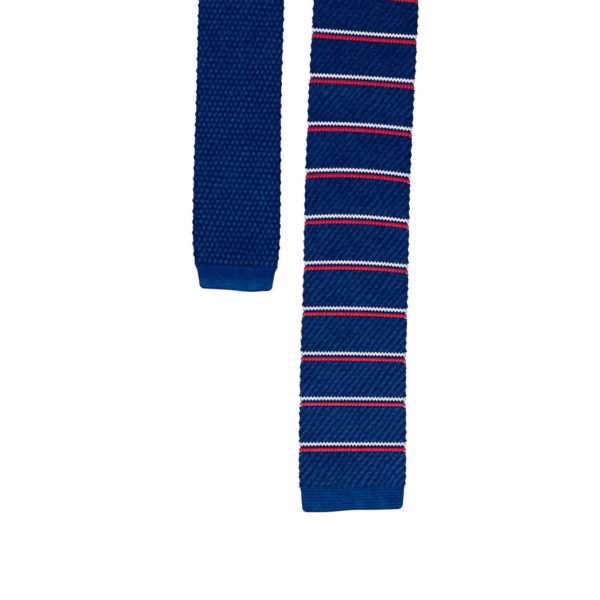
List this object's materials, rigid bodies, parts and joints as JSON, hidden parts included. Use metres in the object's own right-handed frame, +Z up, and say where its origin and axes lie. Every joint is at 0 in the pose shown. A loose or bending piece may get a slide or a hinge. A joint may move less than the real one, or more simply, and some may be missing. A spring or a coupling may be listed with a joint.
{
  "type": "knit tie",
  "caption": "Slim knit tie with square ends, hung untied round the neck: a striped front blade and a plain tail blade joined by a narrow neck band.",
  "frame": {"origin": "centre back of the neck, on the inner face of the neck band, where it rests", "axes": "+Z up; the wearer faces -Y, so the outer faces of both blades look along -Y; +X towards the front blade's side"},
  "size_m": [0.1414, 0.1287, 0.7049],
  "materials": {
    "navy_knit": "matte honeycomb knit with a soft sheen",
    "hem_knit": "matte fine plain knit",
    "white_yarn": "matte zigzag knit course",
    "red_yarn": "matte knit course"
  },
  "bodies": {
    "root": {"neck_band": "navy_knit", "front_blade": "navy_knit", "tail_blade": "navy_knit", "front_hem": "hem_knit", "tail_hem": "hem_knit", "white_stripe_01": "white_yarn", "red_stripe_01": "red_yarn", "white_stripe_02": "white_yarn", "red_stripe_02": "red_yarn", "white_stripe_03": "white_yarn", "red_stripe_03": "red_yarn", "white_stripe_04": "white_yarn", "red_stripe_04": "red_yarn", "white_stripe_05": "white_yarn", "red_stripe_05": "red_yarn", "white_stripe_06": "white_yarn", "red_stripe_06": "red_yarn", "white_stripe_07": "white_yarn", "red_stripe_07": "red_yarn", "white_stripe_08": "white_yarn", "red_stripe_08": "red_yarn", "white_stripe_09": "white_yarn", "red_stripe_09": "red_yarn", "white_stripe_10": "white_yarn", "red_stripe_10": "red_yarn", "white_stripe_11": "white_yarn", "red_stripe_11": "red_yarn", "white_stripe_12": "white_yarn", "red_stripe_12": "red_yarn", "white_stripe_13": "white_yarn", "red_stripe_13": "red_yarn", "white_stripe_14": "white_yarn", "red_stripe_14": "red_yarn", "white_stripe_15": "white_yarn", "red_stripe_15": "red_yarn", "white_stripe_16": "white_yarn", "red_stripe_16": "red_yarn", "white_stripe_17": "white_yarn", "red_stripe_17": "red_yarn", "white_stripe_18": "white_yarn", "red_stripe_18": "red_yarn", "white_stripe_19": "white_yarn", "red_stripe_19": "red_yarn", "white_stripe_20": "white_yarn", "red_stripe_20": "red_yarn", "white_stripe_21": "white_yarn", "red_stripe_21": "red_yarn"}
  },
  "joints": []
}
